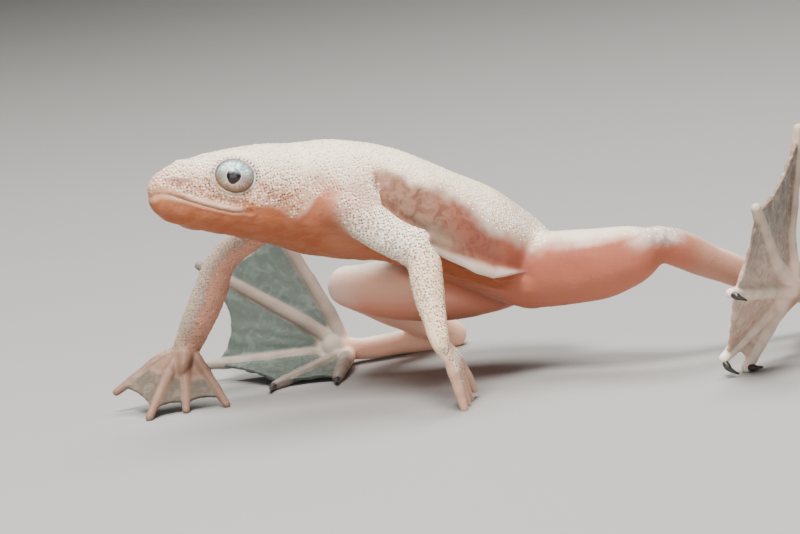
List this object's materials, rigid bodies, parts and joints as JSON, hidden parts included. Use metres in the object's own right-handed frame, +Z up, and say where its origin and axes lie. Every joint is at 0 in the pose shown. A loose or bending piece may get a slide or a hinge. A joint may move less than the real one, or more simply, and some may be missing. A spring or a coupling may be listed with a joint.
{
  "type": "dwarf frog",
  "caption": "Life-size still model of an albino dwarf clawed frog, standing on spread webbed hands and hind feet with its head raised.",
  "frame": {"origin": "on the floor, at the centre of the bounding box's bottom face", "axes": "+Z up; the head points to -X; the frog's left side, which faces the camera, is towards -Y"},
  "size_m": [0.051, 0.0446, 0.0203],
  "materials": {
    "skin": "moist, finely granular skin, cream-white above, salmon on throat and belly",
    "limb_skin": "moist, finely granular skin, pale above, salmon pink below",
    "web_skin": "thin, smooth, slightly translucent skin with paler digits",
    "eye": "wet, clear cornea over a pale silvery iris and a grey pupil",
    "claw": "black horn, half gloss"
  },
  "bodies": {
    "root": {"head": "skin", "trunk": "skin", "upper_arm_left": "limb_skin", "upper_arm_right": "limb_skin", "forearm_left": "limb_skin", "forearm_right": "limb_skin", "thigh_left": "limb_skin", "thigh_right": "limb_skin", "shin_left": "limb_skin", "shin_right": "limb_skin", "tarsus_left": "limb_skin", "tarsus_right": "limb_skin", "hand_left": "web_skin", "hand_right": "web_skin", "foot_left": "web_skin", "foot_right": "web_skin", "eye_left": "eye", "eye_right": "eye", "claw_left_1": "claw", "claw_left_2": "claw", "claw_left_3": "claw", "claw_right_1": "claw", "claw_right_2": "claw", "claw_right_3": "claw"}
  },
  "joints": []
}
